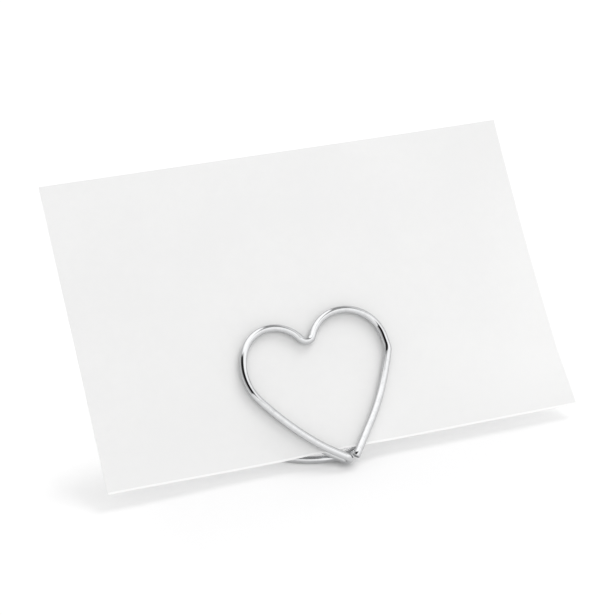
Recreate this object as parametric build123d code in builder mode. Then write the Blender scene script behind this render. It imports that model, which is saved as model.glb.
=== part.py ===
from build123d import *

import os
from math import cos, radians, sin, sqrt

# Place card holder: one length of chrome wire bent into a pair of hearts that clip a blank card.
# Millimetres. X runs along the card, Y to the rear, Z up, and the table is at Z = 0.

# Card
CARD_WIDTH = 85.0
CARD_HEIGHT = 55.0
CARD_THICKNESS = 0.35
CARD_LEAN = 47.2
CARD_EDGE_Y = -19.0
CARD_EDGE_Z = 2.73

# Wire
WIRE_DIAMETER = 1.3
CLIP_GAP = 0.5
END_CHAMFER = 0.12

# Heart, bent by hand, so its halves differ: the middle of the wire, across and up from where the
# two legs would meet, with headings in degrees from across
HEART_TURN = 5.73
HEART_POINT_X = -0.5
HEART_POINT_UP = -2.756
FRONT_END = 1.1
FOOT_BEND_START = 4.6
RIGHT_LEG_LENGTH = 8.0
RIGHT_LEG_HEADING = 47.38
RIGHT_KNEE = (12.73, 16.65)
RIGHT_KNEE_HEADING = 62.6
RIGHT_LOBE = (6.49, 19.63)
RIGHT_LOBE_RADIUS = 6.63
CLEFT = (-0.15, 22.5)
LEFT_LOBE = (-6.6, 20.62)
LEFT_LOBE_RADIUS = 5.8
LEFT_LOBE_END = 141.4
LEFT_LEG = (-5.31, 5.34)
LEFT_LEG_HEADING = 312.0
FOLD_START = (-0.93, 1.34)
FOLD_HEADING = 321.0

# Foot: an open ring flat on the table under the card
FOOT_RADIUS = 13.5
FOOT_CENTRE_X = -2.4
FOOT_CENTRE_BACK = 14.6
FOOT_START_ANGLE = 271.0
FOOT_SWEEP = 301.0
FOOT_FLAT = 0.08

# Worked out from the above
WIRE_RADIUS = WIRE_DIAMETER / 2
HEART_OFFSET = CLIP_GAP / 2 + WIRE_RADIUS
FOOT_HEIGHT = WIRE_RADIUS - FOOT_FLAT
FOOT_CENTRE_Y = CARD_EDGE_Y + FOOT_CENTRE_BACK

# Planes of the card and of the two hearts, which face out of the card's front
lean = radians(CARD_LEAN)
card_plane = Plane(
    origin=(0, CARD_EDGE_Y, CARD_EDGE_Z),
    x_dir=(1, 0, 0),
    z_dir=(0, -cos(lean), sin(lean)),
)
turn = radians(HEART_TURN)
heart_across = card_plane.x_dir * cos(turn) + card_plane.y_dir * sin(turn)
heart_point = card_plane.from_local_coords((HEART_POINT_X, HEART_POINT_UP, 0))
front_plane = Plane(
    origin=heart_point + card_plane.z_dir * HEART_OFFSET,
    x_dir=heart_across,
    z_dir=card_plane.z_dir,
)
rear_plane = Plane(
    origin=heart_point - card_plane.z_dir * HEART_OFFSET,
    x_dir=heart_across,
    z_dir=card_plane.z_dir,
)


def heading_on(plane, angle):
    """Direction in a heart's plane, at an angle from across."""
    return plane.x_dir * cos(radians(angle)) + plane.y_dir * sin(radians(angle))


def cleft_join(lobe, radius):
    """Where a lobe's arc meets the arc that leads it into the cleft."""
    middle = Vector(*lobe)
    cleft = Vector(*CLEFT)
    reach = cleft - middle
    cleft_radius = (reach.dot(reach) - radius**2) / (2 * (radius - reach.Y))
    cleft_centre = cleft + Vector(0, cleft_radius)
    return middle + (cleft_centre - middle).normalized() * radius


def draw_bend(start, heading, end, arrival):
    """Adds two arcs to the open line that leave start along heading and reach end along arrival."""
    reach = end - start
    spread = 2 * (1 - heading.dot(arrival))
    along = reach.dot(heading + arrival)
    handle = reach.dot(reach) / (sqrt(along**2 + spread * reach.dot(reach)) + along)
    first_corner = start + heading * handle
    last_corner = end - arrival * handle
    middle = (first_corner + last_corner) / 2
    TangentArc(start, middle, tangent=heading)
    TangentArc(middle, end, tangent=last_corner - first_corner)


def draw_heart(plane, start):
    """Adds a heart to the open line, from a distance up its right leg over both lobes to the fold."""
    leg_heading = heading_on(plane, RIGHT_LEG_HEADING)
    leg_top = plane.origin + leg_heading * RIGHT_LEG_LENGTH
    knee = plane.from_local_coords((*RIGHT_KNEE, 0))
    knee_heading = heading_on(plane, RIGHT_KNEE_HEADING)
    right_lobe = plane.from_local_coords((*RIGHT_LOBE, 0))
    right_side = right_lobe + plane.x_dir * RIGHT_LOBE_RADIUS
    right_inner = plane.from_local_coords(cleft_join(RIGHT_LOBE, RIGHT_LOBE_RADIUS))
    cleft = plane.from_local_coords((*CLEFT, 0))
    left_inner = plane.from_local_coords(cleft_join(LEFT_LOBE, LEFT_LOBE_RADIUS))
    left_lobe = plane.from_local_coords((*LEFT_LOBE, 0))
    left_side = left_lobe + heading_on(plane, LEFT_LOBE_END) * LEFT_LOBE_RADIUS
    left_leg = plane.from_local_coords((*LEFT_LEG, 0))
    left_heading = heading_on(plane, LEFT_LEG_HEADING)
    fold = plane.from_local_coords((*FOLD_START, 0))
    Line(plane.origin + leg_heading * start, leg_top)
    draw_bend(leg_top, leg_heading, knee, knee_heading)
    draw_bend(knee, knee_heading, right_side, plane.y_dir)
    lobe = TangentArc(right_side, right_inner, tangent=plane.y_dir)
    dip = TangentArc(lobe @ 1, cleft, tangent=lobe % 1)
    rise = TangentArc(dip @ 1, left_inner, tangent=dip % 1)
    far_lobe = TangentArc(rise @ 1, left_side, tangent=rise % 1)
    draw_bend(far_lobe @ 1, far_lobe % 1, left_leg, left_heading)
    draw_bend(left_leg, left_heading, fold, heading_on(plane, FOLD_HEADING))


# Front heart: from its cut end over both lobes to the start of the fold
with BuildPart() as front_heart:
    with BuildLine(front_plane) as front_line:
        draw_heart(front_plane, FRONT_END)
    with BuildSketch(Plane(origin=front_line.line @ 0, z_dir=front_line.line % 0)):
        Circle(WIRE_RADIUS)
    sweep()
    front_cut = front_heart.faces().sort_by_distance(front_line.line @ 0)[0]
    chamfer(front_cut.edges(), END_CHAMFER)

# Spring fold: half a turn under the card's lower edge, from the front heart to the rear one
fold_front = front_plane.from_local_coords((*FOLD_START, 0))
fold_rear = rear_plane.from_local_coords((*FOLD_START, 0))
fold_down = heading_on(front_plane, FOLD_HEADING)
fold_low = (fold_front + fold_rear) / 2 + fold_down * HEART_OFFSET
with BuildPart() as spring_fold:
    with BuildLine() as fold_line:
        ThreePointArc(fold_front, fold_low, fold_rear)
    with BuildSketch(Plane(origin=fold_front, z_dir=fold_down)):
        Circle(WIRE_RADIUS)
    sweep()

# Rear heart: behind the card, straight behind the front one
with BuildPart() as rear_heart:
    with BuildLine(rear_plane) as rear_line:
        draw_heart(rear_plane, FOOT_BEND_START)
    with BuildSketch(Plane(origin=rear_line.line @ 0, z_dir=rear_line.line % 0)):
        Circle(WIRE_RADIUS)
    sweep()

# Foot ring: down from the rear heart's right leg and round on the table, its underside worn flat
foot_top = rear_line.line @ 0
foot_heading = (rear_line.line % 0) * -1
ring_plane = Plane(origin=(FOOT_CENTRE_X, FOOT_CENTRE_Y, FOOT_HEIGHT))
ring_start = radians(FOOT_START_ANGLE)
ring_end = radians(FOOT_START_ANGLE - FOOT_SWEEP)
ring_first = ring_plane.from_local_coords(
    (FOOT_RADIUS * cos(ring_start), FOOT_RADIUS * sin(ring_start), 0)
)
ring_last = ring_plane.from_local_coords(
    (FOOT_RADIUS * cos(ring_end), FOOT_RADIUS * sin(ring_end), 0)
)
ring_heading = Vector(sin(ring_start), -cos(ring_start), 0)
with BuildPart() as foot_ring:
    with BuildLine() as foot_line:
        draw_bend(foot_top, foot_heading, ring_first, ring_heading)
        TangentArc(ring_first, ring_last, tangent=ring_heading)
    with BuildSketch(Plane(origin=foot_top, z_dir=foot_heading)):
        Circle(WIRE_RADIUS)
    sweep()
    foot_cut = foot_ring.faces().sort_by_distance(ring_last)[0]
    chamfer(foot_cut.edges(), END_CHAMFER)
    split(bisect_by=Plane.XY, keep=Keep.TOP)

# Place card: blank, square-cornered
with BuildPart() as place_card:
    with BuildSketch(card_plane.offset(-CARD_THICKNESS / 2)):
        Rectangle(CARD_WIDTH, CARD_HEIGHT, align=(Align.CENTER, Align.MIN))
    extrude(amount=CARD_THICKNESS)

# Export
front_heart.part.label = "front_heart"
spring_fold.part.label = "spring_fold"
rear_heart.part.label = "rear_heart"
foot_ring.part.label = "foot_ring"
place_card.part.label = "place_card"
os.makedirs("parts", exist_ok=True)
export_step(front_heart.part, "parts/front_heart.step")
export_step(spring_fold.part, "parts/spring_fold.step")
export_step(rear_heart.part, "parts/rear_heart.step")
export_step(foot_ring.part, "parts/foot_ring.step")
export_step(place_card.part, "parts/place_card.step")
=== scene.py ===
import logging
from dataclasses import dataclass, field
from enum import Enum
from math import cos, pi, radians, sin, sqrt

import bpy
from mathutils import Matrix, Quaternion, Vector


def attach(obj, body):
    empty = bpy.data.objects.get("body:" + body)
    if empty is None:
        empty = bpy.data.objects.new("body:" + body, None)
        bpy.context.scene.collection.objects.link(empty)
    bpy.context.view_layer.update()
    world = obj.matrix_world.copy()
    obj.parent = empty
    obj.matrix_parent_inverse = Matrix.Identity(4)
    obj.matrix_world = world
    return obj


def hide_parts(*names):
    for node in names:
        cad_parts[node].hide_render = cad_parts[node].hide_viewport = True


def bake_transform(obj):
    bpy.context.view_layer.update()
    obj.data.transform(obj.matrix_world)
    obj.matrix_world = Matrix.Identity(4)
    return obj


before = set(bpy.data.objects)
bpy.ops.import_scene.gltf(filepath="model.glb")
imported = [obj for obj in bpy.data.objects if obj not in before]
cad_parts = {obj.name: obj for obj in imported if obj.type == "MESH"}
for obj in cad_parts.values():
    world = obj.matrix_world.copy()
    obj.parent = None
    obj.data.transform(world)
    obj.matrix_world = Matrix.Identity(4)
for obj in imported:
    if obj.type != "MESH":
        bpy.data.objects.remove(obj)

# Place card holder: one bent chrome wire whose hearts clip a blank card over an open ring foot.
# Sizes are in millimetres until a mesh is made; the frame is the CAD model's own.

MM = 0.001
PHOTO_PIXELS = 615
log = logging.getLogger("place_card_holder")


class Body(Enum):
    """Bodies of the frame that the pieces ride on."""

    STAND = "stand"
    FRONT_CLIP = "front_clip"
    CARD = "card"


class Slot(Enum):
    """Material slots of the record."""

    WIRE = "wire"
    CARD = "card"


class RingEnd(Enum):
    """How a length of wire ends: against the next length, or cut off by the maker."""

    JOINED = "joined"
    CUT = "cut"


class NodeBench:
    """Adds shader nodes to one node tree, so that a finish reads as a list of steps."""

    def __init__(self, tree: bpy.types.NodeTree) -> None:
        """Starts with an empty tree.

        Args:
            tree: the node tree of a material or of the world.
        """
        self.tree = tree
        tree.nodes.clear()

    def add(self, kind: str, **settings: object) -> bpy.types.Node:
        """Adds one node.

        Args:
            kind: Blender's name of the node type.
            settings: properties to set on it.

        Returns:
            The new node.
        """
        node = self.tree.nodes.new(kind)
        for name, value in settings.items():
            setattr(node, name, value)
        return node

    def end(self, shader: bpy.types.Node, output: str = "ShaderNodeOutputMaterial") -> None:
        """Ends the tree with a shader.

        Args:
            shader: the last shader node.
            output: Blender's name of the output node's type.
        """
        self.feed(shader.outputs[0], self.add(output).inputs["Surface"])

    def feed(self, value: object, socket: bpy.types.NodeSocket) -> None:
        """Sets a socket to a plain value, or links another socket to it.

        Args:
            value: a number, a colour or an output socket.
            socket: the input socket that takes it.
        """
        if isinstance(value, bpy.types.NodeSocket):
            self.tree.links.new(value, socket)
        else:
            socket.default_value = value

    def math(self, operation: str, *values: object, clamp: bool = False) -> bpy.types.NodeSocket:
        """Adds a math node.

        Args:
            operation: Blender's name of the operation.
            values: its inputs, numbers or sockets.
            clamp: whether the result is kept between 0 and 1.

        Returns:
            The result's socket.
        """
        node = self.add("ShaderNodeMath", operation=operation, use_clamp=clamp)
        for value, socket in zip(values, node.inputs):
            self.feed(value, socket)
        return node.outputs[0]

    def product(self, *values: object) -> bpy.types.NodeSocket:
        """Multiplies two or more numbers or sockets and returns the result's socket."""
        result = values[0]
        for value in values[1:]:
            result = self.math("MULTIPLY", result, value)
        return result

    def brightest(self, *values: object) -> bpy.types.NodeSocket:
        """Takes the largest of two or more numbers or sockets and returns its socket."""
        result = values[0]
        for value in values[1:]:
            result = self.math("MAXIMUM", result, value)
        return result

    def between(self, value: object, low: float, high: float,
                to_low: float = 0.0, to_high: float = 1.0) -> bpy.types.NodeSocket:
        """Adds a smooth step from one value to another.

        Args:
            value: the number or socket that is read.
            low: where the step starts.
            high: where the step ends.
            to_low: the result before the step.
            to_high: the result after the step.

        Returns:
            The result's socket.
        """
        node = self.add("ShaderNodeMapRange", interpolation_type="SMOOTHSTEP")
        for number, socket in zip((value, low, high, to_low, to_high), node.inputs):
            self.feed(number, socket)
        return node.outputs[0]

    def noise(self, vector: object, scale: float, detail: float,
              rough: float = 0.5) -> bpy.types.NodeSocket:
        """Adds a noise texture.

        Args:
            vector: the coordinates' socket.
            scale: the pattern's frequency per unit of the coordinates.
            detail: how many finer layers it has.
            rough: how strong the finer layers are.

        Returns:
            The noise's socket, from 0 to 1.
        """
        node = self.add("ShaderNodeTexNoise", noise_dimensions="3D")
        self.feed(vector, node.inputs["Vector"])
        node.inputs["Scale"].default_value = scale
        node.inputs["Detail"].default_value = detail
        node.inputs["Roughness"].default_value = rough
        return node.outputs["Fac"]

    def stretched(self, vector: object, scale: tuple[float, float, float]) -> bpy.types.NodeSocket:
        """Scales coordinates differently on each axis.

        Args:
            vector: the coordinates' socket.
            scale: the factor on each axis.

        Returns:
            The new coordinates' socket.
        """
        node = self.add("ShaderNodeMapping", vector_type="POINT")
        self.feed(vector, node.inputs["Vector"])
        node.inputs["Scale"].default_value = scale
        return node.outputs[0]

    def tint(self, share: object, low: tuple, high: tuple) -> bpy.types.NodeSocket:
        """Goes from one colour to another.

        Args:
            share: 0 for the first colour and 1 for the second.
            low: the first colour.
            high: the second colour.

        Returns:
            The colour's socket.
        """
        node = self.add("ShaderNodeMix", data_type="RGBA")
        self.feed(share, node.inputs["Factor"])
        for socket, colour in zip([s for s in node.inputs if s.type == "RGBA"], (low, high)):
            socket.default_value = (*colour, 1.0)
        return [s for s in node.outputs if s.type == "RGBA"][0]

    def bump(self, height: object, strength: float, depth: float,
             under: object = None) -> bpy.types.NodeSocket:
        """Adds a bump.

        Args:
            height: the height's socket.
            strength: how much of it shows, from 0 to 1.
            depth: the height's real depth, in metres.
            under: a bump that this one lies on.

        Returns:
            The normal's socket.
        """
        node = self.add("ShaderNodeBump")
        node.inputs["Strength"].default_value = strength
        node.inputs["Distance"].default_value = depth
        self.feed(height, node.inputs["Height"])
        if under is not None:
            self.feed(under, node.inputs["Normal"])
        return node.outputs[0]


def start_material(name: str) -> tuple[bpy.types.Material, NodeBench]:
    """Makes a material with an empty node tree.

    Args:
        name: the material's name.

    Returns:
        The material and the bench for its nodes.
    """
    material = bpy.data.materials.new(name)
    material.use_nodes = True
    return material, NodeBench(material.node_tree)


@dataclass(frozen=True)
class ChromeFinish:
    """Bright chrome on drawn wire: faint lines along its length and a light haze."""

    name: str = "chrome_wire"
    clear: tuple[float, float, float] = (0.6, 0.605, 0.612)
    hazy: tuple[float, float, float] = (0.55, 0.555, 0.562)
    polish: float = 0.045
    haze: float = 0.11
    draw_line_scale: tuple[float, float, float] = (60.0, 46.0, 1.0)
    draw_line_depth: float = 1.2e-6
    ripple_scale: float = 420.0
    ripple_depth: float = 6.0e-6
    haze_scale: float = 900.0
    haze_step: tuple[float, float] = (0.42, 0.74)

    def make(self) -> bpy.types.Material:
        """Returns the material."""
        material, bench = start_material(self.name)
        along = bench.add("ShaderNodeUVMap", uv_map=BentWire.UV_NAME).outputs[0]
        place = bench.add("ShaderNodeTexCoord").outputs["Object"]
        draw_lines = bench.noise(bench.stretched(along, self.draw_line_scale), 1.0, 3.0, 0.6)
        ripple = bench.noise(place, self.ripple_scale, 1.5)
        haze = bench.between(bench.noise(place, self.haze_scale, 4.0, 0.65), *self.haze_step)
        shader = bench.add("ShaderNodeBsdfPrincipled")
        shader.inputs["Metallic"].default_value = 1.0
        bench.feed(bench.tint(haze, self.clear, self.hazy), shader.inputs["Base Color"])
        bench.feed(bench.between(haze, 0.0, 1.0, self.polish, self.haze), shader.inputs["Roughness"])
        soft = bench.bump(ripple, 1.0, self.ripple_depth)
        bench.feed(bench.bump(draw_lines, 1.0, self.draw_line_depth, soft), shader.inputs["Normal"])
        bench.end(shader)
        return material


@dataclass(frozen=True)
class CutSteelFinish:
    """Bare steel on the wire's cut ends, with the cutter's fine drag lines."""

    name: str = "cut_steel"
    light: tuple[float, float, float] = (0.5, 0.5, 0.51)
    dark: tuple[float, float, float] = (0.2, 0.2, 0.21)
    tone_step: tuple[float, float] = (0.3, 0.7)
    smooth: float = 0.32
    rough: float = 0.54
    grain_scale: float = 14000.0
    grain_step: tuple[float, float] = (0.2, 0.8)
    drag_scale: tuple[float, float, float] = (9000.0, 1200.0, 1200.0)
    drag_depth: float = 1.0e-5

    def make(self) -> bpy.types.Material:
        """Returns the material."""
        material, bench = start_material(self.name)
        place = bench.add("ShaderNodeTexCoord").outputs["Object"]
        drag = bench.noise(bench.stretched(place, self.drag_scale), 1.0, 2.0)
        grain = bench.noise(place, self.grain_scale, 2.0)
        shader = bench.add("ShaderNodeBsdfPrincipled")
        shader.inputs["Metallic"].default_value = 1.0
        tone = bench.between(drag, *self.tone_step)
        bench.feed(bench.tint(tone, self.dark, self.light), shader.inputs["Base Color"])
        spread = bench.between(grain, *self.grain_step, self.smooth, self.rough)
        bench.feed(spread, shader.inputs["Roughness"])
        bench.feed(bench.bump(drag, 0.8, self.drag_depth), shader.inputs["Normal"])
        bench.end(shader)
        return material


@dataclass(frozen=True)
class CardFinish:
    """Uncoated white card: faint clouds, short fibres and a fine tooth."""

    name: str = "white_card"
    light: tuple[float, float, float] = (0.885, 0.885, 0.882)
    cloud: tuple[float, float, float] = (0.862, 0.862, 0.86)
    cloud_scale: float = 42.0
    cloud_share: float = 0.72
    flock_scale: float = 620.0
    flock_share: float = 0.28
    tone_step: tuple[float, float] = (0.34, 0.66)
    smooth: float = 0.77
    rough: float = 0.9
    rough_step: tuple[float, float] = (0.25, 0.75)
    gloss: float = 0.25
    fibre_scale: tuple[float, float, float] = (1500.0, 5200.0, 5200.0)
    fibre_depth: float = 1.4e-5
    tooth_scale: float = 9000.0
    tooth_depth: float = 6.0e-6

    def make(self) -> bpy.types.Material:
        """Returns the material."""
        material, bench = start_material(self.name)
        place = bench.add("ShaderNodeTexCoord").outputs["Object"]
        clouds = bench.noise(place, self.cloud_scale, 3.0, 0.55)
        flocks = bench.noise(place, self.flock_scale, 3.0, 0.6)
        fibres = bench.noise(bench.stretched(place, self.fibre_scale), 1.0, 3.0, 0.6)
        tooth = bench.noise(place, self.tooth_scale, 2.0)
        mottle = bench.math(
            "ADD", bench.product(clouds, self.cloud_share), bench.product(flocks, self.flock_share)
        )
        tone = bench.between(mottle, *self.tone_step)
        spread = bench.between(flocks, *self.rough_step, self.smooth, self.rough)
        shader = bench.add("ShaderNodeBsdfPrincipled")
        bench.feed(bench.tint(tone, self.cloud, self.light), shader.inputs["Base Color"])
        bench.feed(spread, shader.inputs["Roughness"])
        shader.inputs["Specular IOR Level"].default_value = self.gloss
        fine = bench.bump(tooth, 0.5, self.tooth_depth)
        bench.feed(bench.bump(fibres, 0.5, self.fibre_depth, fine), shader.inputs["Normal"])
        bench.end(shader)
        return material


@dataclass(frozen=True)
class EdgeHighlightCardFinish(CardFinish):
    """Whiter white for the card's cut edge, partly its whiter core and partly a painted highlight, and for a
    thin band of its face along the foot, where it is a painted highlight along the lower edge.
    """

    name: str = "card_edge_highlight"
    light: tuple[float, float, float] = (0.985, 0.985, 0.982)
    cloud: tuple[float, float, float] = (0.97, 0.97, 0.967)


@dataclass(frozen=True)
class SweepFinish:
    """Plain matt white of the table sweep, which the camera sees bright through a white lift; the lift is
    dimmed by ambient occlusion near the wire and card (painted contact shadow), raised to the card's left
    (painted light that washes out the card's cast shadow) and lowered in front of the card's lower edge
    (painted shade that lengthens its shadow).
    """

    name: str = "white_sweep"
    colour: tuple[float, float, float] = (0.955, 0.955, 0.957)
    shown: tuple[float, float, float] = (0.6, 0.6, 0.601)
    lift: float = 0.4
    # Painted contact shadow: within this reach, ambient occlusion dims the camera's white lift near the wire
    # and the card.
    contact_reach: float = 0.0022
    contact_step: tuple[float, float] = (0.05, 0.85)
    contact_samples: int = 8
    mirrored_share: float = 0.8
    # Painted light: the lift is raised to the card's left, washing out the card's cast shadow there.
    painted_side_light: float = 0.16
    side_across: tuple[float, float] = (-0.030, -0.041)
    side_back: tuple[float, float] = (-0.015, -0.002)
    # Painted shade: the lift is lowered in a band in front of the card's lower edge, lengthening the card's
    # shadow strip.
    painted_front_shade: float = 0.055
    front_start: tuple[float, float] = (-0.0176, -0.0196)
    front_end: tuple[float, float] = (-0.060, -0.021)
    front_across: tuple[float, float] = (0.050, 0.030)

    def make(self) -> bpy.types.Material:
        """Returns the material."""
        material, bench = start_material(self.name)
        rays = bench.add("ShaderNodeLightPath")
        glossy = rays.outputs["Is Glossy Ray"]
        seen = bench.brightest(rays.outputs["Is Camera Ray"], rays.outputs["Is Transmission Ray"], glossy)
        matt = bench.add("ShaderNodeBsdfDiffuse")
        bench.feed(bench.tint(seen, self.colour, self.shown), matt.inputs["Color"])
        # Painted contact shadow: ambient occlusion dims the lift near the wire and card; glossy rays keep
        # most of the lift.
        nearby = bench.add("ShaderNodeAmbientOcclusion", samples=self.contact_samples)
        nearby.inputs["Distance"].default_value = self.contact_reach
        contact_shade = bench.between(nearby.outputs["AO"], *self.contact_step)
        mirrored = bench.product(glossy, self.mirrored_share)
        open_share = bench.brightest(mirrored, contact_shade)
        spot = bench.add("ShaderNodeSeparateXYZ")
        bench.feed(bench.add("ShaderNodeTexCoord").outputs["Object"], spot.inputs[0])
        # Painted light to the card's left, where the card's cast shadow would fall.
        beside = bench.product(
            bench.between(spot.outputs[0], *self.side_across),
            bench.between(spot.outputs[1], *self.side_back),
        )
        # Painted shade in front of the card's lower edge, lengthening its shadow strip.
        before = bench.product(
            bench.between(spot.outputs[1], *self.front_start),
            bench.between(spot.outputs[1], *self.front_end),
            bench.between(bench.math("ABSOLUTE", spot.outputs[0]), *self.front_across),
        )
        level = bench.math("MULTIPLY_ADD", before, -self.painted_front_shade, self.lift)
        lift = bench.math("MULTIPLY_ADD", beside, self.painted_side_light, level)
        white = bench.add("ShaderNodeEmission")
        bench.feed(bench.product(seen, open_share, lift), white.inputs["Strength"])
        both = bench.add("ShaderNodeAddShader")
        bench.feed(matt.outputs[0], both.inputs[0])
        bench.feed(white.outputs[0], both.inputs[1])
        bench.end(both)
        return material


@dataclass(frozen=True)
class Run:
    """A straight stretch of wire."""

    start: Vector
    end: Vector
    RING_SPACING = 0.8

    def rings(self) -> int:
        """Returns how many steps the stretch is divided into."""
        return max(2, round((self.end - self.start).length / self.RING_SPACING))

    def at(self, share: float) -> Vector:
        """Returns the point at a share of the length."""
        return self.start.lerp(self.end, share)

    def heading(self, share: float) -> Vector:
        """Returns the direction at a share of the length."""
        return (self.end - self.start).normalized()


@dataclass(frozen=True)
class Bend:
    """A bend of one radius, given by its start, its first heading and its end."""

    start: Vector
    first: Vector
    end: Vector
    RING_ANGLE = radians(2.5)
    RING_SPACING = 0.8

    @property
    def angle(self) -> float:
        """The angle that the bend turns through."""
        return 2 * self.first.angle(self.end - self.start)

    @property
    def axis(self) -> Vector:
        """The axis that the bend turns about."""
        return self.first.cross(self.end - self.start).normalized()

    @property
    def radius(self) -> float:
        """The bend's radius."""
        return (self.end - self.start).length / (2 * sin(self.angle / 2))

    @property
    def centre(self) -> Vector:
        """The middle of the bend's circle."""
        return self.start + self.axis.cross(self.first) * self.radius

    def rings(self) -> int:
        """Returns how many steps the bend is divided into."""
        by_angle = round(self.angle / self.RING_ANGLE)
        by_length = round(self.angle * self.radius / self.RING_SPACING)
        return max(3, by_angle, by_length)

    def at(self, share: float) -> Vector:
        """Returns the point at a share of the bend."""
        turn = Quaternion(self.axis, self.angle * share)
        return self.centre + turn @ (self.start - self.centre)

    def heading(self, share: float) -> Vector:
        """Returns the direction at a share of the bend."""
        return Quaternion(self.axis, self.angle * share) @ self.first


@dataclass
class WireLine:
    """The wire's middle line, drawn from one end to the other as a maker bends it."""

    point: Vector
    heading: Vector
    stretches: list = field(default_factory=list)

    def run_to(self, end: Vector) -> None:
        """Goes straight to a point."""
        self._take(Run(self.point, end))

    def bend_to(self, end: Vector) -> None:
        """Goes to a point by one bend that leaves along the present heading."""
        self._take(Bend(self.point, self.heading, end))

    def sweep_to(self, end: Vector, arrival: Vector) -> None:
        """Goes to a point by two bends, and arrives along a given direction.

        Args:
            end: the point to reach.
            arrival: the direction on arrival.
        """
        reach = end - self.point
        spread = 2 * (1 - self.heading.dot(arrival))
        along = reach.dot(self.heading + arrival)
        handle = reach.length_squared / (sqrt(along**2 + spread * reach.length_squared) + along)
        self.bend_to((self.point + self.heading * handle + end - arrival * handle) / 2)
        self.bend_to(end)

    def _take(self, stretch: Run | Bend) -> None:
        """Adds a stretch and moves on to its end."""
        self.stretches.append(stretch)
        self.point = stretch.end
        self.heading = stretch.heading(1.0)


@dataclass(frozen=True)
class LeaningPlane:
    """The leaning card's middle plane: along its lower edge, up its face and out of its front."""

    lean: float = 47.2
    edge_y: float = -19.0
    edge_z: float = 2.73

    @property
    def up(self) -> Vector:
        """The direction up the card."""
        return Vector((0.0, sin(radians(self.lean)), cos(radians(self.lean))))

    @property
    def out(self) -> Vector:
        """The direction out of the card's front."""
        return Vector((0.0, -cos(radians(self.lean)), sin(radians(self.lean))))

    def at(self, across: float, up: float, out: float = 0.0) -> Vector:
        """Returns the place of a point given on the card.

        Args:
            across: distance to the right of the lower edge's middle.
            up: distance up the card.
            out: distance in front of the card's middle plane.
        """
        return Vector((across, self.edge_y, self.edge_z)) + self.up * up + self.out * out


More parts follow.
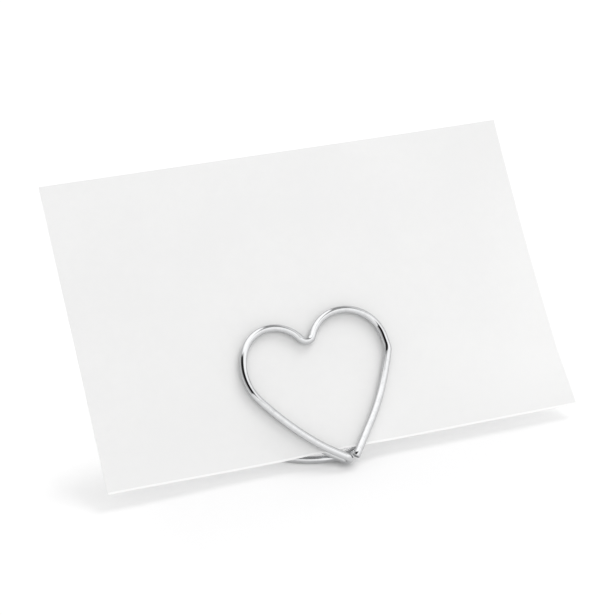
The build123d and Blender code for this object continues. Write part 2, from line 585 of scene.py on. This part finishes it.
@dataclass(frozen=True)
class HeartOutline:
    """The heart that the wire is bent to, on the middle of the wire; as hand bends do, its halves differ.

    Places are across and up from where the two legs would meet, and headings are in degrees from across,
    on the way from the right leg over both lobes to the fold.
    """

    plane: LeaningPlane
    turn: float = 5.73
    point_across: float = -0.5
    point_up: float = -2.756
    right_leg_length: float = 8.0
    right_leg_heading: float = 47.38
    right_knee: tuple[float, float] = (12.73, 16.65)
    right_knee_heading: float = 62.6
    right_lobe: tuple[float, float] = (6.49, 19.63)
    right_lobe_radius: float = 6.63
    cleft: tuple[float, float] = (-0.15, 22.5)
    left_lobe: tuple[float, float] = (-6.6, 20.62)
    left_lobe_radius: float = 5.8
    left_lobe_end: float = 141.4
    left_leg: tuple[float, float] = (-5.31, 5.34)
    left_leg_heading: float = 312.0
    fold: tuple[float, float] = (-0.93, 1.34)
    fold_heading: float = 321.0

    def place(self, spot: tuple[float, float], out: float) -> Vector:
        """Returns the place of a point of the outline.

        Args:
            spot: its distances across and up.
            out: distance in front of the card's middle plane.
        """
        turn = radians(self.turn)
        across = self.point_across + spot[0] * cos(turn) - spot[1] * sin(turn)
        up = self.point_up + spot[0] * sin(turn) + spot[1] * cos(turn)
        return self.plane.at(across, up, out)

    def heading(self, angle: float) -> Vector:
        """Returns a direction in the heart's plane, at an angle from across."""
        turn = radians(self.turn + angle)
        return Vector((1.0, 0.0, 0.0)) * cos(turn) + self.plane.up * sin(turn)

    def right_leg(self, distance: float) -> tuple[float, float]:
        """Returns a spot on the right leg, at a distance from where the legs would meet."""
        angle = radians(self.right_leg_heading)
        return cos(angle) * distance, sin(angle) * distance

    def lobe_spot(self, lobe: tuple[float, float], radius: float, angle: float) -> tuple[float, float]:
        """Returns a spot on a lobe's arc, at an angle from across."""
        return lobe[0] + radius * cos(radians(angle)), lobe[1] + radius * sin(radians(angle))

    def cleft_join(self, lobe: tuple[float, float], radius: float) -> tuple[float, float]:
        """Returns the spot where a lobe's arc meets the arc that leads it into the cleft."""
        middle, cleft = Vector(lobe), Vector(self.cleft)
        reach = cleft - middle
        cleft_radius = (reach.length_squared - radius**2) / (2 * (radius - reach.y))
        spot = middle + (reach + Vector((0.0, cleft_radius))).normalized() * radius
        return spot.x, spot.y

    def draw_over(self, line: WireLine, out: float) -> None:
        """Draws the heart from the present point on the right leg over both lobes to the fold.

        Args:
            line: the wire's line.
            out: distance of the heart in front of the card's middle plane.
        """
        line.run_to(self.place(self.right_leg(self.right_leg_length), out))
        line.sweep_to(self.place(self.right_knee, out), self.heading(self.right_knee_heading))
        right_side = self.lobe_spot(self.right_lobe, self.right_lobe_radius, 0.0)
        line.sweep_to(self.place(right_side, out), self.heading(90.0))
        line.bend_to(self.place(self.cleft_join(self.right_lobe, self.right_lobe_radius), out))
        line.bend_to(self.place(self.cleft, out))
        line.bend_to(self.place(self.cleft_join(self.left_lobe, self.left_lobe_radius), out))
        left_side = self.lobe_spot(self.left_lobe, self.left_lobe_radius, self.left_lobe_end)
        line.bend_to(self.place(left_side, out))
        line.sweep_to(self.place(self.left_leg, out), self.heading(self.left_leg_heading))
        line.sweep_to(self.place(self.fold, out), self.heading(self.fold_heading))

    def draw_back(self, line: WireLine, last_leg: float, out: float) -> None:
        """Draws the heart the other way, from the fold over both lobes to the right leg.

        Args:
            line: the wire's line, already at the fold.
            last_leg: where the line ends on the right leg.
            out: distance of the heart in front of the card's middle plane.
        """
        line.sweep_to(self.place(self.left_leg, out), -self.heading(self.left_leg_heading))
        left_side = self.lobe_spot(self.left_lobe, self.left_lobe_radius, self.left_lobe_end)
        line.sweep_to(self.place(left_side, out), -self.heading(self.left_lobe_end + 90.0))
        line.bend_to(self.place(self.cleft_join(self.left_lobe, self.left_lobe_radius), out))
        line.bend_to(self.place(self.cleft, out))
        line.bend_to(self.place(self.cleft_join(self.right_lobe, self.right_lobe_radius), out))
        right_side = self.lobe_spot(self.right_lobe, self.right_lobe_radius, 0.0)
        line.bend_to(self.place(right_side, out))
        line.sweep_to(self.place(self.right_knee, out), -self.heading(self.right_knee_heading))
        leg_top = self.place(self.right_leg(self.right_leg_length), out)
        line.sweep_to(leg_top, -self.heading(self.right_leg_heading))
        line.run_to(self.place(self.right_leg(last_leg), out))


@dataclass(frozen=True)
class RingFoot:
    """The open ring that lies on the table under the card."""

    radius: float = 13.5
    centre_across: float = -2.4
    centre_back: float = 14.6
    start_angle: float = 271.0
    sweep: float = 301.0
    flat: float = 0.08

    def place(self, angle: float, edge_y: float, height: float) -> Vector:
        """Returns a point of the ring.

        Args:
            angle: the angle round the ring's middle, in degrees.
            edge_y: where the card's lower edge is.
            height: the height of the wire's middle over the table.
        """
        turn = radians(angle)
        return Vector((
            self.centre_across + self.radius * cos(turn),
            edge_y + self.centre_back + self.radius * sin(turn),
            height,
        ))

    def draw(self, line: WireLine, edge_y: float, height: float) -> None:
        """Draws the foot from the present point down to the table and round."""
        turn = radians(self.start_angle)
        line.sweep_to(self.place(self.start_angle, edge_y, height), Vector((sin(turn), -cos(turn), 0.0)))
        line.bend_to(self.place(self.start_angle - self.sweep, edge_y, height))


@dataclass(frozen=True)
class WireLength:
    """One length of the wire that stands for a CAD node."""

    name: str
    node: str
    first: int
    last: int
    start: RingEnd
    end: RingEnd


@dataclass
class BentWire:
    """The holder's wire: a front heart, the fold under the card, a rear heart and the foot."""

    plane: LeaningPlane
    diameter: float = 1.3
    gap: float = 0.5
    front_end: float = 1.1
    foot_bend_start: float = 4.6
    end_chamfer: float = 0.12
    sides: int = 48
    foot: RingFoot = field(default_factory=RingFoot)
    UV_NAME = "wire_uv"

    def __post_init__(self) -> None:
        """Works out the wire's line and the rings of points round it."""
        self.radius = self.diameter / 2
        self.offset = self.gap / 2 + self.radius
        self.heart = HeartOutline(self.plane)
        self.lengths = self._draw()

    def _draw(self) -> list[WireLength]:
        """Draws the wire from its front cut end to its foot.

        Returns:
            The lengths that stand for the CAD nodes.
        """
        front, rear = self.offset, -self.offset
        start = self.heart.place(self.heart.right_leg(self.front_end), front)
        line = WireLine(start, self.heart.heading(self.heart.right_leg_heading))
        ends = []
        self.heart.draw_over(line, front)
        ends.append(len(line.stretches))
        line.bend_to(self.heart.place(self.heart.fold, rear))
        ends.append(len(line.stretches))
        self.heart.draw_back(line, self.foot_bend_start, rear)
        ends.append(len(line.stretches))
        self.foot.draw(line, self.plane.edge_y, self.radius - self.foot.flat)
        ends.append(len(line.stretches))
        counts = self._lay_rings(line)
        marks = [0] + [sum(counts[:end]) for end in ends]
        names = (
            ("front_heart_wire", "front_heart", RingEnd.CUT, RingEnd.JOINED),
            ("fold_wire", "spring_fold", RingEnd.JOINED, RingEnd.JOINED),
            ("rear_heart_wire", "rear_heart", RingEnd.JOINED, RingEnd.JOINED),
            ("foot_wire", "foot_ring", RingEnd.JOINED, RingEnd.CUT),
        )
        return [
            WireLength(name, node, marks[i], marks[i + 1], head, tail)
            for i, (name, node, head, tail) in enumerate(names)
        ]

    def _lay_rings(self, line: WireLine) -> list[int]:
        """Lays the rings along the line, each turned as little as can be from the one before.

        Args:
            line: the finished line.

        Returns:
            How many steps each stretch has.
        """
        counts = [stretch.rings() for stretch in line.stretches]
        places = [line.stretches[0].at(0.0)]
        headings = [line.stretches[0].heading(0.0)]
        for stretch, count in zip(line.stretches, counts):
            for step in range(1, count + 1):
                places.append(stretch.at(step / count))
                headings.append(stretch.heading(step / count))
        across = self.plane.out.cross(headings[0]).normalized()
        self.places, self.headings, self.across, self.travel = places, headings, [across], [0.0]
        for i in range(1, len(places)):
            across = headings[i - 1].rotation_difference(headings[i]) @ across
            across = (across - headings[i] * across.dot(headings[i])).normalized()
            self.across.append(across)
            self.travel.append(self.travel[-1] + (places[i] - places[i - 1]).length)
        return counts

    def ring(self, index: int, radius: float, shift: float = 0.0) -> list[Vector]:
        """Points round the wire.

        Args:
            index: which ring.
            radius: the ring's radius.
            shift: how far the ring is moved along the wire.

        Returns:
            The points, in metres.
        """
        place, heading, across = self.places[index], self.headings[index], self.across[index]
        other = heading.cross(across)
        middle = place + heading * shift
        points = []
        for side in range(self.sides):
            angle = 2 * pi * side / self.sides
            point = middle + (across * cos(angle) + other * sin(angle)) * radius
            point.z = max(point.z, 0.0)
            points.append(point * MM)
        return points

    def build(self, length: WireLength, chrome: bpy.types.Material,
              cut: bpy.types.Material) -> bpy.types.Object:
        """Makes the mesh of one length.

        Args:
            length: which length.
            chrome: the finish of the wire's skin.
            cut: the finish of a cut end.

        Returns:
            The new object.
        """
        bevel = self.end_chamfer
        marks = [(index, 0.0, 0.0) for index in range(length.first, length.last + 1)]
        if length.start is RingEnd.CUT:
            marks[:1] = [(length.first, bevel, 0.0), (length.first, 0.0, bevel)]
        if length.end is RingEnd.CUT:
            marks[-1:] = [(length.last, 0.0, -bevel), (length.last, bevel, 0.0)]
        rows = [self.ring(index, self.radius - inset, shift) for index, inset, shift in marks]
        travel = [self.travel[index] + shift for index, inset, shift in marks]
        return self._skin(length, rows, travel, chrome, cut)

    def _skin(self, length: WireLength, rows: list[list[Vector]], travel: list[float],
              chrome: bpy.types.Material, cut: bpy.types.Material) -> bpy.types.Object:
        """Joins rings into a closed tube.

        Args:
            length: the length that is made.
            rows: the rings' points.
            travel: the distance of each ring along the whole wire.
            chrome: the finish of the skin.
            cut: the finish of a cut end.

        Returns:
            The new object.
        """
        points = [point for row in rows for point in row]
        quads, coords = [], []
        for i in range(len(rows) - 1):
            for j in range(self.sides):
                k = (j + 1) % self.sides
                low, high = i * self.sides, (i + 1) * self.sides
                quads.append((low + j, low + k, high + k, high + j))
                first, last = travel[i] * MM, travel[i + 1] * MM
                near, far = j / self.sides, (j + 1) / self.sides
                coords.append(((first, near), (first, far), (last, far), (last, near)))
        caps = [
            (list(reversed(range(self.sides))), rows[0], length.start),
            (list(range(len(points) - self.sides, len(points))), rows[-1], length.end),
        ]
        faces, slots = list(quads), [0] * len(quads)
        for indices, row, kind in caps:
            middle = sum(row, Vector()) / self.sides
            points.append(middle)
            hub = len(points) - 1
            for j in range(self.sides):
                faces.append((indices[j], indices[(j + 1) % self.sides], hub))
                slots.append(1 if kind is RingEnd.CUT else 0)
                coords.append(((0.0, 0.0), (0.0, 0.0), (0.0, 0.0)))
        mesh = bpy.data.meshes.new(length.name)
        mesh.from_pydata(points, [], faces)
        mesh.materials.append(chrome)
        mesh.materials.append(cut)
        mesh.polygons.foreach_set("material_index", slots)
        mesh.polygons.foreach_set("use_smooth", [True] * len(faces))
        layer = mesh.uv_layers.new(name=self.UV_NAME)
        layer.data.foreach_set("uv", [value for face in coords for pair in face for value in pair])
        rims = set()
        for indices, _, _ in caps:
            for j in range(self.sides):
                rims.add(frozenset((indices[j], indices[(j + 1) % self.sides])))
        for edge in mesh.edges:
            edge.use_edge_sharp = frozenset(edge.vertices) in rims
        mesh.validate()
        mesh.update()
        piece = bpy.data.objects.new(length.name, mesh)
        bpy.context.scene.collection.objects.link(piece)
        return piece

    def dress(self, chrome: bpy.types.Material, cut: bpy.types.Material) -> list[bpy.types.Object]:
        """Builds every length, puts each but the fold on its body, and lets it stand for its CAD node; the
        fold is left on no body, its place baked into its mesh.

        Args:
            chrome: the finish of the wire's skin.
            cut: the finish of a cut end.

        Returns:
            The pieces.
        """
        pieces = []
        for length in self.lengths:
            piece = self.build(length, chrome, cut)
            if length.node == "spring_fold":
                near = self.heart.place(self.heart.fold, self.gap / 2) * MM
                far = self.heart.place(self.heart.fold, -self.gap / 2) * MM
                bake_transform(piece)
            elif length.node == "front_heart":
                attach(piece, Body.FRONT_CLIP.value)
            else:
                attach(piece, Body.STAND.value)
            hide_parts(length.node)
            pieces.append(piece)
        return pieces


@dataclass
class PlaceCard:
    """The blank card, cut square, with the slight curl of stiff paper."""

    plane: LeaningPlane
    width: float = 85.0
    height: float = 55.0
    thickness: float = 0.35
    columns: int = 170
    rows: int = 110
    # The lowest band of the face takes the edge finish: a painted highlight along the foot.
    highlight_band: float = 0.3
    left_grip: tuple[float, float, float] = (-6.77, 2.53, 137.2)
    right_grip: tuple[float, float, float] = (1.9, 0.44, 53.1)
    grip_reach: tuple[float, float] = (0.4, 6.0)
    low_belly: float = 0.85
    low_height: float = 15.0
    left_fade: tuple[float, float] = (-41.0, -16.0)
    right_share: float = 0.6
    right_belly: float = 1.7
    right_start: float = 13.0
    right_rise: tuple[float, float] = (-2.0, 13.0)
    right_crest: float = 18.0
    right_fall: float = 34.0

    @staticmethod
    def step(value: float, low: float, high: float) -> float:
        """Returns a smooth step from 0 at one value to 1 at another."""
        share = min(1.0, max(0.0, (value - low) / (high - low)))
        return share * share * (3.0 - 2.0 * share)

    def beside(self, grip: tuple[float, float, float], across: float, up: float) -> float:
        """How far a spot lies under a leg of the hearts, outside the part that they hold.

        Args:
            grip: a spot on the leg, across and up, and the leg's heading in degrees.
            across: distance of the spot to the right of the card's middle.
            up: distance of the spot up the card.

        Returns:
            The distance, below 0 between the legs.
        """
        heading = radians(grip[2])
        outer = 1.0 if grip[2] < 90.0 else -1.0
        return outer * ((across - grip[0]) * sin(heading) - (up - grip[1]) * cos(heading))

    def lift(self, across: float, up: float) -> float:
        """How far the card stands out of its flat plane; nothing where the hearts hold it.

        Args:
            across: distance to the right of the middle.
            up: distance up the card.

        Returns:
            The distance out of the front.
        """
        left = self.step(self.beside(self.left_grip, across, up), *self.grip_reach)
        left *= self.step(across, *self.left_fade)
        right = self.right_share * self.step(self.beside(self.right_grip, across, up), *self.grip_reach)
        low = max(0.0, 1.0 - up / self.low_height) ** 2
        lift = -self.low_belly * low * max(left, right)
        side = max(0.0, across - self.right_start) / (self.width / 2 - self.right_start)
        rise = self.step(up, *self.right_rise)
        fall = 1.0 - (max(0.0, up - self.right_crest) / self.right_fall) ** 2
        return lift - self.right_belly * side**2 * rise * fall

    def build(self, stock: bpy.types.Material, edge: bpy.types.Material) -> bpy.types.Object:
        """Makes the card's mesh.

        Args:
            stock: the finish of the card's faces.
            edge: the finish of its cut edge and of a thin band of its face along the foot, a painted
                highlight along the lower edge.

        Returns:
            The new object.
        """
        heights = [0.0, self.highlight_band] + [self.height * (row + 1) / self.rows for row in range(self.rows)]
        columns, rows = self.columns, len(heights) - 1
        points, faces, slots = [], [], []
        for out in (self.thickness / 2, -self.thickness / 2):
            for up in heights:
                for column in range(columns + 1):
                    across = self.width * (column / columns - 0.5)
                    points.append(self.plane.at(across, up, out + self.lift(across, up)) * MM)
        wide = columns + 1
        back = wide * (rows + 1)
        for row in range(rows):
            for column in range(columns):
                a = row * wide + column
                b, c, d = a + 1, a + 1 + wide, a + wide
                faces.append((a, b, c, d))
                faces.append((back + d, back + c, back + b, back + a))
                # The lowest row of the front face takes the edge finish, a painted highlight along the foot.
                slots += [1 if row == 0 else 0, 0]
        rim = (
            [column for column in range(columns)]
            + [row * wide + columns for row in range(rows)]
            + [rows * wide + column for column in range(columns, 0, -1)]
            + [row * wide for row in range(rows, 0, -1)]
        )
        sharp = set()
        for here, there in zip(rim, rim[1:] + rim[:1]):
            faces.append((here, back + here, back + there, there))
            slots.append(1)
            sharp.add(frozenset((here, there)))
            sharp.add(frozenset((back + here, back + there)))
        for corner in (0, columns, rows * wide, rows * wide + columns):
            sharp.add(frozenset((corner, back + corner)))
        mesh = bpy.data.meshes.new("blank_card")
        mesh.from_pydata(points, [], faces)
        mesh.materials.append(stock)
        mesh.materials.append(edge)
        mesh.polygons.foreach_set("material_index", slots)
        mesh.polygons.foreach_set("use_smooth", [True] * len(faces))
        for line in mesh.edges:
            line.use_edge_sharp = frozenset(line.vertices) in sharp
        mesh.validate()
        mesh.update()
        piece = bpy.data.objects.new("blank_card", mesh)
        bpy.context.scene.collection.objects.link(piece)
        return piece

    def dress(self, stock: bpy.types.Material, edge: bpy.types.Material) -> bpy.types.Object:
        """Builds the card, puts it on its body and lets it stand for its CAD node.

        Args:
            stock: the finish of the card's faces.
            edge: the finish of its cut edge and of a thin band along its foot, a painted highlight along the
                lower edge.

        Returns:
            The piece.
        """
        piece = self.build(stock, edge)
        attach(piece, Body.CARD.value)
        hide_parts("place_card")
        return piece


@dataclass(frozen=True)
class Fade:
    """A soft edge of a light: a level before one place and another level after a second place."""

    low: float
    high: float
    before: float = 0.0
    after: float = 1.0

    def of(self, bench: NodeBench, value: object) -> bpy.types.NodeSocket:
        """Returns the socket of the level at a place."""
        return bench.between(value, self.low, self.high, self.before, self.after)


@dataclass(frozen=True)
class SoftBoxes:
    """What the metal mirrors: boxes of light on a level ceiling one unit up, with black between them."""

    overhead_reach: float = 0.45
    overhead_left_slant: float = 0.78
    overhead_right_slant: float = 0.45
    overhead_front: Fade = Fade(-0.1, 0.1)
    overhead_side: Fade = Fade(-0.2, -0.6, 0.17, 0.33)
    overhead_right: Fade = Fade(-0.07, 0.07)
    overhead_left: Fade = Fade(-1.6, -0.9)
    overhead_back: Fade = Fade(2.2, 1.2)
    overhead_level: Fade = Fade(-1.2, -0.3, 1.2, 1.68)
    front_reach: float = -0.8
    front_left_slant: float = 0.4
    front_far: Fade = Fade(-0.2, -0.36)
    front_near: Fade = Fade(-0.06, 0.1)
    front_level: Fade = Fade(-1.4, -0.6, 1.38, 1.58)
    front_left: Fade = Fade(-2.0, 0.2, 0.85, 1.0)
    front_right: Fade = Fade(0.8, 3.5, 1.0, 0.8)
    right_wall_start: Fade = Fade(0.05, 0.2)
    right_wall_front: Fade = Fade(-0.45, -0.2)
    right_wall_foot: Fade = Fade(0.4, 0.62, 0.4, 1.0)
    right_wall_level: Fade = Fade(-0.4, 0.8, 1.35, 0.8)
    left_wall: Fade = Fade(-1.1, -2.7, 0.0, 0.72)
    back_wall: Fade = Fade(1.4, 2.6, 0.0, 0.6)
    darkest: float = 0.02

    def glow(self, bench: NodeBench, right: object, back: object) -> bpy.types.NodeSocket:
        """Draws the boxes.

        Args:
            bench: the world's nodes.
            right: how far to the right a ray meets the ceiling.
            back: how far to the rear it meets the ceiling.

        Returns:
            The socket of the brightness.
        """
        to_left = bench.math("MINIMUM", right, 0.0)
        to_right = bench.math("MAXIMUM", right, 0.0)
        lip = bench.math("MULTIPLY_ADD", to_left, self.overhead_left_slant, self.overhead_reach)
        lip = bench.math("MULTIPLY_ADD", to_right, self.overhead_right_slant, lip)
        side = self.overhead_side.of(bench, back)
        overhead = bench.product(
            self.overhead_front.of(bench, bench.math("ADD", back, lip)),
            self.overhead_right.of(bench, bench.math("SUBTRACT", side, right)),
            self.overhead_left.of(bench, right),
            self.overhead_back.of(bench, back),
            self.overhead_level.of(bench, right),
        )
        near = bench.math("MULTIPLY_ADD", to_left, self.front_left_slant, self.front_reach)
        near = bench.math("ADD", near, to_right)
        front = bench.product(
            self.front_far.of(bench, back),
            self.front_near.of(bench, bench.math("SUBTRACT", near, back)),
            self.front_level.of(bench, back),
            self.front_left.of(bench, right),
            self.front_right.of(bench, right),
        )
        right_wall = bench.product(
            self.right_wall_start.of(bench, right),
            self.right_wall_front.of(bench, back),
            self.right_wall_foot.of(bench, right),
            self.right_wall_level.of(bench, back),
        )
        left_wall = self.left_wall.of(bench, right)
        back_wall = self.back_wall.of(bench, back)
        boxes = bench.brightest(overhead, front, right_wall, left_wall, back_wall)
        return bench.math("ADD", boxes, self.darkest)


@dataclass
class Studio:
    """The white table sweep, the soft lights and the camera."""

    plane: LeaningPlane
    floor_reach: float = 3.0
    view_elevation: float = 29.291
    view_azimuth: float = -19.395
    view_distance: float = 311.33
    look_across: float = -7.895
    look_over_edge: float = 28.714
    focal_pixels: float = 1928.0
    sensor: float = 36.0
    near_clip: float = 0.01
    far_clip: float = 20.0
    horizon: float = 0.03
    room_light: float = 0.86
    room_tilt: float = 0.25
    key_power: float = 2.25
    key_size: float = 0.45
    key_place: tuple[float, float, float] = (0.45, 0.16, 0.75)
    key_aim: tuple[float, float, float] = (0.0, 0.0, 0.01)

    def build(self) -> None:
        """Makes the floor, the room, the lamp and the camera."""
        self.floor()
        self.room()
        self.key_lamp()
        self.camera()

    def floor(self) -> None:
        """Lays the table sweep."""
        reach = self.floor_reach
        mesh = bpy.data.meshes.new("table_sweep")
        corners = [(-reach, -reach, 0.0), (reach, -reach, 0.0), (reach, reach, 0.0), (-reach, reach, 0.0)]
        mesh.from_pydata(corners, [], [(0, 1, 2, 3)])
        mesh.materials.append(SweepFinish().make())
        sweep = bpy.data.objects.new("table_sweep", mesh)
        bpy.context.scene.collection.objects.link(sweep)

    def room(self) -> None:
        """Makes the room: white to the camera, a soft dome to matt surfaces, soft boxes to metal."""
        world = bpy.data.worlds.new("studio_room")
        bpy.context.scene.world = world
        world.use_nodes = True
        bench = NodeBench(world.node_tree)
        split = bench.add("ShaderNodeSeparateXYZ")
        bench.feed(bench.add("ShaderNodeTexCoord").outputs["Generated"], split.inputs[0])
        x, y, z = split.outputs
        height = bench.math("MAXIMUM", z, self.horizon)
        glow = SoftBoxes().glow(bench, bench.math("DIVIDE", x, height), bench.math("DIVIDE", y, height))
        rays = bench.add("ShaderNodeLightPath")
        seen = bench.brightest(rays.outputs["Is Camera Ray"], rays.outputs["Is Transmission Ray"])
        dome = bench.math("MULTIPLY_ADD", x, self.room_light * self.room_tilt, self.room_light)
        dome = bench.math("MULTIPLY_ADD", seen, bench.math("SUBTRACT", 1.0, dome), dome)
        shine = rays.outputs["Is Glossy Ray"]
        strength = bench.math("MULTIPLY_ADD", shine, bench.math("SUBTRACT", glow, dome), dome)
        light = bench.add("ShaderNodeBackground")
        light.inputs["Color"].default_value = (1.0, 1.0, 1.0, 1.0)
        bench.feed(strength, light.inputs["Strength"])
        bench.end(light, "ShaderNodeOutputWorld")

    def key_lamp(self) -> None:
        """Hangs the soft lamp that draws the wire's shadow on the card."""
        lamp = bpy.data.lights.new("key_lamp", "AREA")
        lamp.shape = "DISK"
        lamp.size = self.key_size
        lamp.energy = self.key_power
        holder = bpy.data.objects.new("key_lamp", lamp)
        holder.location = self.key_place
        aim = Vector(self.key_aim) - Vector(self.key_place)
        holder.rotation_euler = aim.to_track_quat("-Z", "Y").to_euler()
        holder.visible_glossy = False
        bpy.context.scene.collection.objects.link(holder)

    def camera(self) -> None:
        """Puts the camera at the photograph's viewpoint."""
        lens = bpy.data.cameras.new("camera")
        lens.sensor_width = self.sensor
        lens.lens = self.focal_pixels * self.sensor / PHOTO_PIXELS
        lens.clip_start = self.near_clip
        lens.clip_end = self.far_clip
        holder = bpy.data.objects.new("camera", lens)
        elevation, azimuth = radians(self.view_elevation), radians(self.view_azimuth)
        forward = Vector((-sin(azimuth) * cos(elevation), cos(azimuth) * cos(elevation), -sin(elevation)))
        target = Vector((self.look_across, self.plane.edge_y, self.plane.edge_z + self.look_over_edge))
        holder.location = (target - forward * self.view_distance) * MM
        holder.rotation_euler = forward.to_track_quat("-Z", "Y").to_euler()
        bpy.context.scene.collection.objects.link(holder)
        bpy.context.scene.camera = holder
        bpy.context.scene.view_settings.view_transform = "Standard"


def main() -> None:
    """Builds the holder and its studio, piece by piece."""
    logging.basicConfig(level=logging.INFO, format="%(name)s: %(message)s")
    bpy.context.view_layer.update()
    plane = LeaningPlane()
    chrome = ChromeFinish().make()
    cut = CutSteelFinish().make()
    for piece in BentWire(plane).dress(chrome, cut):
        log.info("%s has %d faces", piece.name, len(piece.data.polygons))
    card = PlaceCard(plane).dress(CardFinish().make(), EdgeHighlightCardFinish().make())
    log.info("%s has %d faces", card.name, len(card.data.polygons))
    Studio(plane).build()
    bpy.context.view_layer.update()


if __name__ == "__main__":
    main()
